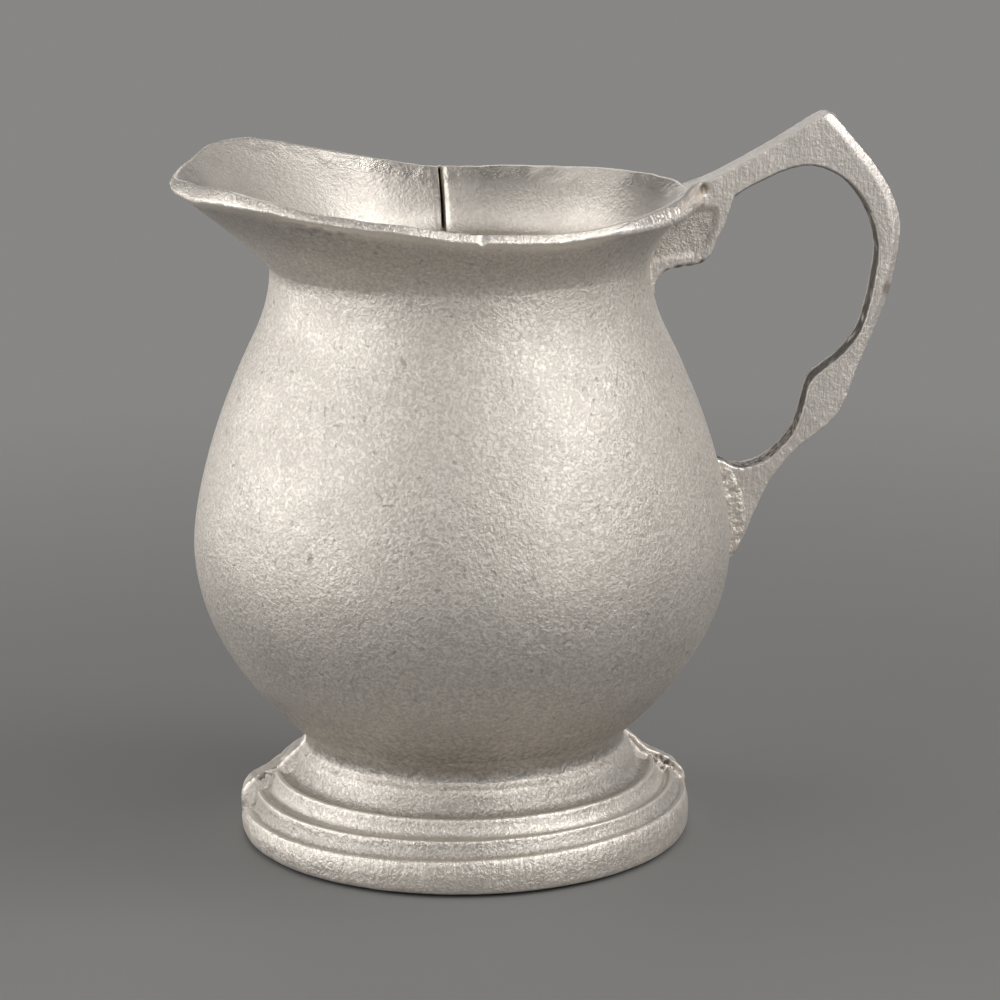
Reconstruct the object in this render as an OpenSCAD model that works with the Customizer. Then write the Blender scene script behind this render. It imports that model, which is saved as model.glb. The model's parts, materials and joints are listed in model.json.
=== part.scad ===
// Small pewter creamer: a wide-lipped jug cast in pieces and soldered together.
// Origin: centre of the foot's resting face. +Z up, spout towards -X, handle towards +X.

/* [Body] */
// Outer radius of the belly at its widest
belly_r = 37.9; // [34:0.1:42]
// Height of the belly's widest ring above the table
belly_h = 42.9; // [38:0.1:48]
// Outer radius of the neck at its narrowest
neck_r = 26.5; // [24:0.1:30]
// Height of the neck's narrowest ring
neck_h = 82.1; // [77:0.1:86]
// Outer radius of the bowl where it meets the foot
bowl_base_r = 22.4; // [20:0.1:25]
// Thickness of the cast wall
wall = 1.7; // [1.2:0.1:2.2]
// Width of the gap between the two cast body shells, filled with solder
seam_w = 0.4; // [0.2:0.1:0.8]

/* [Mouth] */
// Height of the rim's outer corner at the sides of the jug
rim_h = 90.1; // [88:0.1:94]
// Half the width of the mouth across the jug
rim_half_w = 32.3; // [30:0.1:35]
// Reach of the rim from the axis on the handle's side
rim_back = 32.7; // [30:0.1:35]
// Reach of the pouring lip from the axis
lip_reach = 39.4; // [36:0.1:44]
// Rise of the rim towards the shoulders of the lip
lip_rise = 6.8; // [4:0.1:9]
// Dip of the pouring lip between its shoulders
lip_dip = 3.2; // [1:0.1:4.5]
// Rise of the rim towards the handle
back_rise = 0.9; // [0:0.1:2]
// Depth of the open slit at the top of the far seam, inside the mouth
slit_depth = 8; // [4:0.5:12]

/* [Foot] */
// Radius of the foot's band at its upper edge
foot_r = 32; // [30:0.1:35]
// How much less the band's radius is at the table
band_taper = 0.8; // [0:0.1:1.5]
// Height of the foot up to the bowl
foot_h = 14.8; // [13:0.1:17]
// Height of the plain band round the foot's edge
band_h = 5.4; // [4:0.1:6.5]
// Radius of the hole through the middle of the foot
foot_hole_r = 17.5; // [14:0.1:19]
// Thickness of the foot's cast wall
foot_wall = 2.2; // [1.6:0.1:3]
// Thickness of the disc that closes the bowl
floor_t = 1.6; // [1:0.1:2.5]

/* [Handle] */
// Reach of the handle from the axis
handle_reach = 62; // [56:0.1:70]
// Height of the thumb peak above the table
handle_top = 102.2; // [99:0.1:108]
// Thickness of the flat cast handle
handle_t = 4.5; // [3.5:0.1:6]
// Width of the solder collar on each side of the handle's lower end
collar_w = 1.3; // [0.8:0.1:2]
// Height of the solder collar above the belly's surface
collar_h = 1.6; // [1:0.1:2.5]

/* [Hidden] */

// Film of air left between pieces that are soldered face to face
film = 0.1;
// Reach of a cutting shape past what it cuts
overrun = 1;
// How far solder stands proud of a cleaned-up seam
bead_proud = 0.25;

// Mesh of the body: rings below the neck, rings in the flare, columns round one shell
bowl_rings = 26;
flare_rings = 8;
columns = 30;
$fn = 96;

// Shape of the body: how full the bowl is, and how the shoulder runs into the neck
bowl_power = 2.1;
shoulder_power = 1.63;
shoulder_share = 0.753;
// Shape of the mouth: squareness of the lip and of the back, and how each flares
lip_squareness = 2.9;
back_squareness = 2.05;
rise_power = 1.26;
dip_power = 12;
side_flare_power = 1.6;
lip_flare_power = 1.15;
// Share of the wall that the open slit goes through
slit_share = 0.6;

bowl_base_h = foot_h + film;
shoulder_run = (neck_h - belly_h) * shoulder_share;
neck_run = neck_h - belly_h - shoulder_run;
shoulder_drop = (belly_r - neck_r) / (1 + shoulder_power * neck_run / shoulder_run / 2);

// Outer radius of the body at a height below the neck
function bowl_r(z) =
    z < belly_h
        ? belly_r - (belly_r - bowl_base_r)
            * pow((belly_h - z) / (belly_h - bowl_base_h), bowl_power)
        : z < belly_h + shoulder_run
            ? belly_r - shoulder_drop * pow((z - belly_h) / shoulder_run, shoulder_power)
            : neck_r + (belly_r - shoulder_drop - neck_r) * pow((neck_h - z) / neck_run, 2);

// How far a direction points to the lip: 0 at the sides and the handle, 1 at the lip
function lipness(a) = max(0, -cos(a));

// Reach and height of the rim's outer corner in a direction
function rim_reach(a) =
    let (
        along = cos(a) < 0 ? lip_reach : rim_back,
        power = cos(a) < 0 ? lip_squareness : back_squareness
    )
    pow(pow(abs(cos(a)) / along, power) + pow(abs(sin(a)) / rim_half_w, power), -1 / power);
function rim_z(a) =
    rim_h + lip_rise * pow(lipness(a), rise_power) - lip_dip * pow(lipness(a), dip_power)
        + back_rise * pow(max(0, cos(a)), rise_power);

// Point [radius, height] of the outer surface: u runs 0 to 1 up the bowl, 1 to 2 up the flare
function skin(a, u) =
    u <= 1
        ? let (z = bowl_base_h + (neck_h - bowl_base_h) * u) [bowl_r(z), z]
        : let (
            v = u - 1,
            power = side_flare_power + (lip_flare_power - side_flare_power) * lipness(a)
        )
        [neck_r + (rim_reach(a) - neck_r) * pow(v, power), neck_h + (rim_z(a) - neck_h) * v];

// Outward direction of the surface, across a small step of u
u_step = 0.004;
function normal(a, u) =
    let (
        above = skin(a, min(u + u_step, 2)),
        below = skin(a, max(u - u_step, 0)),
        run = above - below
    )
    [run[1], -run[0]] / norm(run);

// The same surface moved out by a distance, or in by a negative one
function offset_skin(a, u, out) = skin(a, u) + normal(a, u) * out;

// Steps of u from the bowl's base to the rim
levels = [
    for (i = [0:bowl_rings]) i / bowl_rings,
    for (i = [1:flare_rings]) 1 + i / flare_rings
];

// The meridian of the body in a direction, moved out by a distance
function meridian(a, out) = [for (u = levels) offset_skin(a, u, out)];

// Smooth curve through a list of points
function through(pts, steps = 5) =
    let (last = len(pts) - 1)
    [
        for (i = [0:last - 1])
            let (
                p0 = pts[max(i - 1, 0)],
                p1 = pts[i],
                p2 = pts[i + 1],
                p3 = pts[min(i + 2, last)]
            )
            for (k = [0:steps - 1])
                let (t = k / steps)
                (2 * p1 + (p2 - p0) * t + (2 * p0 - 5 * p1 + 4 * p2 - p3) * t * t
                    + (3 * p1 - p0 - 3 * p2 + p3) * t * t * t) / 2,
        pts[last]
    ];

// One cast half of the body: outer skin, inner skin and the edges between them
module shell(start_angle) {
    rows = len(levels);
    cols = columns + 1;
    function place(a, p) = [p[0] * cos(a), p[0] * sin(a), p[1]];
    points = [
        for (inside = [false, true])
            for (u = levels)
                for (j = [0:columns])
                    let (a = start_angle + 180 * j / columns)
                    place(a, inside ? inner_point(a, u) : skin(a, u))
    ];
    function at(side, i, j) = side * rows * cols + i * cols + j;
    outer = [
        for (i = [0:rows - 2])
            for (j = [0:columns - 1])
                each [
                    [at(0, i, j), at(0, i + 1, j), at(0, i + 1, j + 1)],
                    [at(0, i, j), at(0, i + 1, j + 1), at(0, i, j + 1)]
                ]
    ];
    inner = [
        for (i = [0:rows - 2])
            for (j = [0:columns - 1])
                each [
                    [at(1, i, j), at(1, i + 1, j + 1), at(1, i + 1, j)],
                    [at(1, i, j), at(1, i, j + 1), at(1, i + 1, j + 1)]
                ]
    ];
    seams = [
        for (i = [0:rows - 2])
            each [
                [at(0, i, 0), at(1, i, 0), at(1, i + 1, 0)],
                [at(0, i, 0), at(1, i + 1, 0), at(0, i + 1, 0)],
                [at(0, i, columns), at(1, i + 1, columns), at(1, i, columns)],
                [at(0, i, columns), at(0, i + 1, columns), at(1, i + 1, columns)]
            ]
    ];
    ends = [
        for (j = [0:columns - 1])
            each [
                [at(0, 0, j), at(0, 0, j + 1), at(1, 0, j + 1)],
                [at(0, 0, j), at(1, 0, j + 1), at(1, 0, j)],
                [at(0, rows - 1, j), at(1, rows - 1, j + 1), at(0, rows - 1, j + 1)],
                [at(0, rows - 1, j), at(1, rows - 1, j), at(1, rows - 1, j + 1)]
            ]
    ];
    polyhedron(points, concat(outer, inner, seams, ends));
}

// Point of the inner skin; its lowest ring is level with the outer one
function inner_point(a, u) =
    let (p = offset_skin(a, u, -wall))
    u == 0 ? [skin(a, 0)[0] - wall / normal(a, 0)[0], bowl_base_h] : [p[0], max(p[1], bowl_base_h)];
floor_r = inner_point(0, 0)[0] - film;

module spout_shell() {
    color("silver") translate([-seam_w / 2, 0, 0]) shell(90);
}

module handle_shell() {
    color("silver") translate([seam_w / 2, 0, 0]) shell(-90);
}

// Solder sheet in the seam between the shells; the far one leaves the slit open
module seam_sheet(slit) {
    outside = meridian(90, -film);
    inside = [for (u = levels) inner_point(90, u) + [film, 0]];
    rotate([90, 0, 90])
        translate([0, 0, film - seam_w / 2])
            linear_extrude(seam_w - 2 * film)
                difference() {
                    polygon(concat(outside, [for (i = [len(inside) - 1:-1:0]) inside[i]]));
                    if (slit) {
                        half = [for (u = levels) offset_skin(90, u, -wall * (1 - slit_share))];
                        intersection() {
                            polygon(concat(half, [[0, rim_h + overrun + wall], [0, 0]]));
                            translate([0, rim_h - slit_depth])
                                square([rim_half_w + overrun, slit_depth + wall + overrun]);
                        }
                    }
                }
}

module shell_seam_solder() {
    color("darkgray") {
        seam_sheet(true);
        mirror([0, 1, 0]) seam_sheet(false);
    }
}

// Disc that closes the bowl, let in between the shells' lower edges
module floor_disc() {
    color("silver")
        translate([0, 0, bowl_base_h])
            cylinder(h = floor_t, r = floor_r);
}

// Outline of the foot's moulded slope: [share of the way in to the waist, share of the way up]
foot_slope_shares = [
    [0, -0.07], [0.01, -0.03], [0.05, 0], [0.09, 0.03], [0.13, 0.08], [0.15, 0.13],
    [0.16, 0.18], [0.18, 0.23], [0.22, 0.255], [0.26, 0.255], [0.3, 0.25], [0.33, 0.26],
    [0.345, 0.3], [0.355, 0.35], [0.38, 0.4], [0.43, 0.43], [0.49, 0.435], [0.54, 0.43],
    [0.6, 0.435], [0.67, 0.47], [0.74, 0.53], [0.8, 0.61], [0.86, 0.72], [0.91, 0.825],
    [0.965, 0.93], [1, 1]
];
// Step in from the bowl's base to the top of the foot
waist_step = 0.6;
waist_r = bowl_base_r - waist_step;

// Radius of the foot at the table
foot_base_r = foot_r - band_taper;

// Outer outline of the foot, standing proud of itself by a distance that fades to the waist
function foot_outline(proud) = [
    [foot_base_r + proud, 0],
    for (s = foot_slope_shares)
        [foot_r - (foot_r - waist_r) * s[0], band_h + (foot_h - band_h) * s[1]]
            + [1, 1] * proud * min(1, 1 - s[1])
];
foot_inside = [
    [foot_hole_r, foot_h],
    [foot_hole_r, foot_h - foot_wall],
    [foot_base_r - foot_wall, band_h - foot_wall],
    [foot_base_r - foot_wall, 0]
];

// One half of the foot, split along the plane of the spout and the handle
module foot_half() {
    color("silver")
        difference() {
            rotate_extrude() polygon(concat(foot_outline(0), foot_inside));
            translate([-foot_r - overrun, seam_w / 2 - foot_r - overrun, -overrun])
                cube([2 * (foot_r + overrun), foot_r + overrun, foot_h + 2 * overrun]);
        }
}

module far_foot_half() {
    foot_half();
}

module near_foot_half() {
    mirror([0, 1, 0]) foot_half();
}

// Solder sheets between the foot's halves, left standing proud outside
module foot_seam_solder() {
    color("darkgray")
        for (side = [0, 1])
            mirror([side, 0, 0])
                rotate([90, 0, 0])
                    translate([0, 0, film - seam_w / 2])
                        linear_extrude(seam_w - 2 * film)
                            polygon(concat(foot_outline(bead_proud), foot_inside));
}

// Width of the bead of solder in the angle between bowl and foot
bowl_bead = 0.8;
bead_low_share = 0.75;
bead_high_share = 0.6;

module bowl_joint_solder() {
    high = foot_h + bowl_bead * bead_high_share;
    color("darkgray")
        rotate_extrude()
            polygon([
                [bowl_base_r + film, foot_h],
                [bowl_base_r + bowl_bead * bead_low_share, foot_h - bowl_bead / 2],
                [bowl_base_r + bowl_bead + film, foot_h + film],
                [bowl_r(high) + 2 * film, high]
            ]);
}

// Outline of the handle: [share across, share of the height]. A share across runs from the belly's
// radius out to the reach, or where it is negative, from the belly's radius in to the neck's.
// The outside goes from the rim over the thumb peak and down to the tail on the belly
handle_outside_shares = [
    [-0.613, 0.893], [-0.106, 0.922], [0.2, 0.952], [0.43, 0.984], [0.52, 0.996], [0.58, 1],
    [0.65, 0.983], [0.75, 0.955], [0.87, 0.92], [0.96, 0.883], [1, 0.845], [0.99, 0.808],
    [0.96, 0.769], [0.91, 0.728], [0.83, 0.684], [0.75, 0.64], [0.69, 0.6], [0.63, 0.576],
    [0.54, 0.558], [0.39, 0.53], [0.3, 0.506], [0.23, 0.481], [0.16, 0.448], [0.09, 0.41],
    [0.03, 0.384], [-0.106, 0.366], [-0.571, 0.363]
];
// The inside of the finger loop, from the belly up to the corner under the top bar
handle_inside_shares = [
    [-0.486, 0.52], [-0.127, 0.519], [0.03, 0.511], [0.1, 0.509], [0.18, 0.514], [0.25, 0.523],
    [0.31, 0.536], [0.38, 0.556], [0.42, 0.576], [0.445, 0.598], [0.48, 0.628], [0.57, 0.647],
    [0.67, 0.665], [0.77, 0.697], [0.82, 0.733], [0.855, 0.771], [0.87, 0.81], [0.84, 0.849],
    [0.75, 0.887], [0.63, 0.914], [0.49, 0.928], [0.34, 0.925], [0.16, 0.907], [0.03, 0.889]
];
// The edge of the bracket, from that corner down to the neck
bracket_shares = [
    [-0.042, 0.871], [-0.127, 0.85], [-0.169, 0.831], [-0.233, 0.811], [-0.359, 0.798], [-0.55, 0.794],
    [-0.761, 0.791], [-0.888, 0.78], [-0.951, 0.762], [-1.374, 0.745]
];
// The sunk panel of the bracket
panel_shares = [
    [-0.296, 0.876], [-0.254, 0.84], [-0.338, 0.815], [-0.507, 0.805], [-0.803, 0.802], [-1.057, 0.8],
    [-0.972, 0.835], [-0.846, 0.865], [-0.634, 0.884]
];
// Depth of the sunk panel on each side of the handle
panel_depth = 0.6;
// Heights between which solder holds the handle, as shares of its height
lower_joint_shares = [0.345, 0.53];
upper_joint_shares = [0.75, 0.86];

function handle_place(s) =
    [belly_r + (s[0] < 0 ? belly_r - neck_r : handle_reach - belly_r) * s[0], handle_top * s[1]];
handle_outline = concat(
    through([for (s = handle_outside_shares) handle_place(s)], 3),
    through([for (s = handle_inside_shares) handle_place(s)], 3),
    through([for (s = bracket_shares) handle_place(s)], 3)
);

// The body's section on the handle's side, from the axis out, grown by a distance
module body_section(grow) {
    edge = [for (u = levels) offset_skin(0, u, grow) + [seam_w / 2, 0]];
    corner = offset_skin(0, 2, -wall) + [seam_w / 2, grow];
    polygon(concat(edge, [corner, [0, corner[1]], [0, bowl_base_h]]));
}

// A drawing in the plane of the handle made a plate of a given thickness
module plate(thickness) {
    rotate([90, 0, 0])
        translate([0, 0, -thickness / 2])
            linear_extrude(thickness) children();
}

module handle() {
    color("silver")
        difference() {
            plate(handle_t)
                difference() {
                    polygon(handle_outline);
                    body_section(film);
                }
            for (side = [0, 1])
                mirror([0, side, 0])
                    translate([0, (handle_t - panel_depth + overrun) / 2, 0])
                        plate(panel_depth + overrun)
                            polygon([for (s = panel_shares) handle_place(s)]);
        }
}

// Collar of solder round an end of the handle, lying on the body
module handle_collar(joint_shares, width, height) {
    low = handle_top * joint_shares[0];
    high = handle_top * joint_shares[1];
    band = [for (u = levels) if (skin(0, u)[1] > low && skin(0, u)[1] < high) u];
    shift = [seam_w / 2, 0];
    ring = concat(
        [for (u = band) offset_skin(0, u, film) + shift],
        [for (i = [len(band) - 1:-1:0]) offset_skin(0, band[i], height) + shift]
    );
    color("darkgray")
        difference() {
            plate(handle_t + 2 * width) polygon(ring);
            plate(handle_t + 2 * film) polygon(handle_outline);
        }
}

module lower_handle_solder() {
    handle_collar(lower_joint_shares, collar_w, collar_h);
}

module upper_handle_solder() {
    handle_collar(upper_joint_shares, collar_w / 2, collar_h / 2);
}

spout_shell();
handle_shell();
shell_seam_solder();
floor_disc();
near_foot_half();
far_foot_half();
foot_seam_solder();
bowl_joint_solder();
handle();
upper_handle_solder();
lower_handle_solder();
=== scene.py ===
# %% [markdown]
# A pewter creamer, dressed in Blender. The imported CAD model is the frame: every piece
# below sits where its solid sits, in metres, with the origin at the centre of the foot's
# resting face, the spout towards -X and the handle towards +X.

# %% Load the frame
import json
import math
import bpy
from mathutils import Matrix, Vector, noise

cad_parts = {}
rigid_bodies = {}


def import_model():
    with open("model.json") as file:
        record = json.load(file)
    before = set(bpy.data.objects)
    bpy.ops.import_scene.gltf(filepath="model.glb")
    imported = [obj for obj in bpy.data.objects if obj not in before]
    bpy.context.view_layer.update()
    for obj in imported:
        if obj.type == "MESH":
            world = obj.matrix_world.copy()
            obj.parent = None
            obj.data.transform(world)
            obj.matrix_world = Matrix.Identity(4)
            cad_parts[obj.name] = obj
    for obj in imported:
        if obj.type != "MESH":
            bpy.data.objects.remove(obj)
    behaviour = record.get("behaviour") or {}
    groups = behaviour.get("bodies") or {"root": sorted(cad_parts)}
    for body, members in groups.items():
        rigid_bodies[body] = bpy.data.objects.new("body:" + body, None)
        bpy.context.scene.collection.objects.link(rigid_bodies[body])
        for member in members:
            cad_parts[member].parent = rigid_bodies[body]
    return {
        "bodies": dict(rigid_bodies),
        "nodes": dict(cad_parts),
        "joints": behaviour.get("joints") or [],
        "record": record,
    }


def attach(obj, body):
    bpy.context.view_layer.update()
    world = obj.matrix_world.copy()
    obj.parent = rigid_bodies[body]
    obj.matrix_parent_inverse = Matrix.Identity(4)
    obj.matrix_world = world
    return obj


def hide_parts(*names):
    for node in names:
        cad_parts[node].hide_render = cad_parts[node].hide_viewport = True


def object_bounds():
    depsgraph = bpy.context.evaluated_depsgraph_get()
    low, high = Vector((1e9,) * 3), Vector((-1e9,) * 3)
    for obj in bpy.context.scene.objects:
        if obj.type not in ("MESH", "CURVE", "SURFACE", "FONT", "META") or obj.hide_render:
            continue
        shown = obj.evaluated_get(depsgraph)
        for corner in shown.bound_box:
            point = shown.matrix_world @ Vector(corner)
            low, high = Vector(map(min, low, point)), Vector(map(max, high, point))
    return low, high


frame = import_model()
cad_box = [list(corner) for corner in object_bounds()]
MM = 0.001
print("frame:", type(frame).__name__, "box", cad_box)

# %% [markdown]
# The camera stands half a metre away, a little to the spout's side, and looks down by
# fourteen degrees through a long lens. A camera looks along its own -Z, so its matrix is
# built from three directions.

# %% Camera
CAMERA_AT = Vector((-45.52, -490.69, 169.72)) * MM
LENS, SENSOR = 129.03, 36  # mm
HEADING, PITCH, ROLL = math.radians(5.924), math.radians(13.874), math.radians(-0.425)
ahead = Vector((math.sin(HEADING) * math.cos(PITCH), math.cos(HEADING) * math.cos(PITCH),
                -math.sin(PITCH)))
right = ahead.cross(Vector((0, 0, 1))).normalized()
up = right.cross(ahead)
rolled = (right * math.cos(ROLL) + up * math.sin(ROLL),
          up * math.cos(ROLL) - right * math.sin(ROLL), -ahead)
lens = bpy.data.cameras.new("photo_camera")
lens.sensor_width = SENSOR
lens.lens = LENS
lens.clip_start = 0.01
camera = bpy.data.objects.new("photo_camera", lens)
bpy.context.scene.collection.objects.link(camera)
camera.matrix_world = Matrix.Translation(CAMERA_AT) @ Matrix(rolled).transposed().to_4x4()
bpy.context.scene.camera = camera
print("camera:", lens.lens, "mm lens")

# %% [markdown]
# Pewter shows its shape by what it mirrors, so the light is a tent of soft panels, all
# of one size and at one distance. The left side is the brightest, the right side comes
# next, and a gap in front leaves the darker band down the middle of the belly. Panels
# behind the jug light its edges and top faces, and two high ones on the right shine
# into the mouth.

# %% Studio
scene = bpy.context.scene
scene.view_settings.view_transform = "Standard"
AIM = Vector((0, 0, 0.045))
PANEL_DISTANCE, PANEL_WIDTH, PANEL_HEIGHT = 0.9, 0.40, 0.36
DARK_ROOM = (0.005, 0.005, 0.005, 1)


def soft_box(name, azimuth, elevation, power):
    a, e = math.radians(azimuth), math.radians(elevation)
    data = bpy.data.lights.new(name, "AREA")
    data.shape = "RECTANGLE"
    data.size, data.size_y = PANEL_WIDTH, PANEL_HEIGHT
    data.energy = power
    lamp = bpy.data.objects.new(name, data)
    scene.collection.objects.link(lamp)
    away = Vector((math.sin(a) * math.cos(e), -math.cos(a) * math.cos(e), math.sin(e)))
    lamp.location = AIM + away * PANEL_DISTANCE
    lamp.rotation_euler = away.to_track_quat("Z", "Y").to_euler()


# direction round the jug from the camera's side, height above the table, watts
panels = [(-140, 8, 0.44), (-140, 60, 0.35), (-110, 8, 1.28), (-110, 34, 0.82), (-80, 8, 1.22),
          (-80, 34, 0.54), (-50, 8, 0.8), (-50, 34, 0.78), (-50, 60, 0.1), (-20, 34, 0.15),
          (10, 34, 0.84), (40, 8, 1.16), (40, 34, 0.9), (70, 34, 1.5), (70, 60, 0.65),
          (100, 8, 0.52), (100, 60, 0.6), (140, 8, 0.33), (140, 34, 0.15), (180, 18, 0.3),
          (180, 45, 0.5)]
for number, (azimuth, elevation, power) in enumerate(panels):
    soft_box("panel_%02d" % number, azimuth, elevation, power)

world = bpy.data.worlds.new("studio")
world.use_nodes = True
world.node_tree.nodes["Background"].inputs["Color"].default_value = DARK_ROOM
scene.world = world
print("lamps:", len(panels), "power", round(sum(p[2] for p in panels), 2), "W")

# %% [markdown]
# Small helpers. Operators act on whatever is selected, so each step first clears the
# selection, and edit mode is entered for one piece only.

# %% Helpers for modelling


def only(piece):
    bpy.ops.object.select_all(action="DESELECT")
    piece.select_set(True)
    bpy.context.view_layer.objects.active = piece


def edit(piece, *steps):
    only(piece)
    bpy.ops.object.mode_set(mode="EDIT")
    bpy.ops.mesh.select_all(action="SELECT")
    for step in steps:
        step()
    bpy.ops.object.mode_set(mode="OBJECT")


def apply(piece, kind, **settings):
    only(piece)
    modifier = piece.modifiers.new(kind.lower(), kind)
    for key, value in settings.items():
        setattr(modifier, key, value)
    bpy.ops.object.modifier_apply(modifier=modifier.name)


def loop_of(name, points):
    """A closed loop of vertices, started as a circle and laid through the points."""
    bpy.ops.object.select_all(action="DESELECT")
    bpy.ops.mesh.primitive_circle_add(vertices=len(points), radius=0.01)
    piece = bpy.context.object
    piece.name = name
    for vertex, point in zip(piece.data.vertices, points):
        vertex.co = Vector(point) * MM
    return piece


def thicken_by(distance):
    def steps():
        bpy.ops.mesh.edge_face_add()
        bpy.ops.mesh.extrude_region_move(TRANSFORM_OT_translate={"value": (0, distance * MM, 0)})
        bpy.ops.mesh.select_all(action="SELECT")
        bpy.ops.mesh.normals_make_consistent(inside=False)
    return steps


def remeshed(piece, voxel, passes):
    """Rebuilds a piece as one even skin of small faces and softens its corners."""
    apply(piece, "REMESH", mode="VOXEL", voxel_size=voxel * MM, adaptivity=0)
    apply(piece, "SMOOTH", factor=0.5, iterations=passes)


def joined(pieces, name):
    only(pieces[0])
    for other in pieces[1:]:
        other.select_set(True)
    bpy.ops.object.join()
    pieces[0].name = name
    return pieces[0]


def store(piece, **lists):
    """Stores lists with a number for each vertex, for the materials to read."""
    for name, values in lists.items():
        piece.data.attributes.new(name, "FLOAT", "POINT").data.foreach_set("value", values)


def attribute(piece, name, value_at):
    store(piece, **{name: [value_at(v) for v in piece.data.vertices]})


def outwards(p):
    """The level direction from the axis to a point."""
    return Vector((p.x, p.y, 0)).normalized()


def ramp(x, low, high):
    t = min(1.0, max(0.0, (x - low) / (high - low)))
    return t * t * (3 - 2 * t)


def between(x, up_from, up_to, down_from, down_to):
    """0 outside a range and 1 inside it, with soft ends."""
    return ramp(x, up_from, up_to) * ramp(x, down_to, down_from)


def rough(point, size, seed=0.0):
    """Smooth noise from -1 to 1, with features of a size in mm."""
    return noise.noise(point / (size * MM) + Vector((seed, seed * 1.7, -seed)))


def through(points, steps):
    """A smooth curve through a list of points (Catmull-Rom)."""
    curve = []
    last = len(points) - 1
    for i in range(last):
        p0, p1 = Vector(points[max(i - 1, 0)]), Vector(points[i])
        p2, p3 = Vector(points[i + 1]), Vector(points[min(i + 2, last)])
        for k in range(steps):
            t = k / steps
            curve.append((2 * p1 + (p2 - p0) * t + (2 * p0 - 5 * p1 + 4 * p2 - p3) * t * t
                          + (3 * p1 - p0 - 3 * p2 + p3) * t ** 3) / 2)
    return curve + [Vector(points[last])]


def finish_piece(piece, slot, *nodes, smooth=40):
    only(piece)
    bpy.ops.object.shade_smooth_by_angle(angle=math.radians(smooth))
    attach(piece, "root")
    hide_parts(*nodes)
    piece.data.materials.clear()
    print(piece.name, len(piece.data.polygons), "faces")


# %% [markdown]
# The body is one turned surface up to the neck, and above it a flare that runs out into
# the pouring lip. The same few numbers as in the CAD source give its height and radius
# in each direction, so the dressed body lies on its solids.

# %% Shape of the body
BELLY_R, BELLY_H, NECK_R, NECK_H = 37.9, 42.9, 26.5, 82.1
BASE_R, BASE_H, WALL = 22.4, 14.9, 1.7
RIM_H, RIM_HALF_W, RIM_BACK, LIP_REACH = 90.1, 32.3, 32.7, 39.4
LIP_RISE, LIP_DIP, BACK_RISE = 6.8, 3.2, 0.9
SHOULDER = (NECK_H - BELLY_H) * 0.753
NECK_RUN = NECK_H - BELLY_H - SHOULDER
DROP = (BELLY_R - NECK_R) / (1 + 1.63 * NECK_RUN / SHOULDER / 2)


def bowl_radius(z):
    if z < BELLY_H:
        return BELLY_R - (BELLY_R - BASE_R) * ((BELLY_H - z) / (BELLY_H - BASE_H)) ** 2.1
    if z < BELLY_H + SHOULDER:
        return BELLY_R - DROP * ((z - BELLY_H) / SHOULDER) ** 1.63
    return NECK_R + (BELLY_R - DROP - NECK_R) * ((NECK_H - z) / NECK_RUN) ** 2


def towards_lip(angle):
    return max(0.0, -math.cos(angle))


# The rim was bent by hand, so it differs a little from the true shape. Each row gives the
# angle from the lip, then in mm the reach, the height, the lean to the far side (minus
# towards the near side) and the wall's thickness at the edge.
rim_bends = [
    (0, 0.9, 0.12, -0.03, 1.4), (10, 0.0, 0.23, -0.07, 2.2), (20, -1.03, -0.1, 0.05, 2.6),
    (30, -0.88, 0.21, 0.21, 2.6), (42, -0.58, 0.34, 0.6, 1.9), (55, -0.35, -0.14, 0.41, 1.5),
    (70, 0.55, -0.15, -0.07, 1.5), (90, -0.34, -0.06, -0.06, 1.6),
    (115, -0.36, -0.42, 0.25, 1.55), (145, -0.28, -0.03, 0.0, 1.7), (180, 0.2, 0.0, 0.0, 1.7)]
REACH, HEIGHT, LEAN, THICKNESS = 1, 2, 3, 4


def rim_bend(angle, column):
    """The value in that column at an angle, on a smooth curve through the rows."""
    turn = abs(math.degrees(angle) % 360 - 180)
    last = len(rim_bends) - 1
    i = max(k for k in range(last) if rim_bends[k][0] <= turn)
    before, a, b, after = [rim_bends[min(max(i + k, 0), last)] for k in (-1, 0, 1, 2)]
    span = b[0] - a[0]
    t = (turn - a[0]) / span
    slope_a = (b[column] - before[column]) / (b[0] - before[0]) * span if i else 0.0
    slope_b = 0.0
    if after is not b:
        slope_b = (after[column] - a[column]) / (after[0] - a[0]) * span
    return ((2 * t ** 3 - 3 * t * t + 1) * a[column] + (t ** 3 - 2 * t * t + t) * slope_a
            + (3 * t * t - 2 * t ** 3) * b[column] + (t ** 3 - t * t) * slope_b)


def rim_reach(angle):
    c, s = abs(math.cos(angle)), abs(math.sin(angle))
    along, power = (LIP_REACH, 2.9) if math.cos(angle) < 0 else (RIM_BACK, 2.05)
    true_reach = ((c / along) ** power + (s / RIM_HALF_W) ** power) ** (-1 / power)
    return true_reach + rim_bend(angle, REACH)


def rim_height(angle):
    lip = towards_lip(angle)
    lean = rim_bend(angle, LEAN) * (1 if math.sin(angle) > 0 else -1)
    return (RIM_H + LIP_RISE * lip ** 1.26 - LIP_DIP * lip ** 12
            + BACK_RISE * max(0.0, math.cos(angle)) ** 1.26 + rim_bend(angle, HEIGHT) + lean)


def skin(angle, u):
    """Radius and height of the outer surface: u is 0 to 1 up the bowl, 1 to 2 up the flare."""
    if u <= 1:
        z = BASE_H + (NECK_H - BASE_H) * u
        return bowl_radius(z), z
    v = u - 1
    power = 1.6 + (1.15 - 1.6) * towards_lip(angle)
    return (NECK_R + (rim_reach(angle) - NECK_R) * v ** power,
            NECK_H + (rim_height(angle) - NECK_H) * v)


print("rim reaches", round(rim_reach(math.pi), 1), "mm at the lip")

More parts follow.
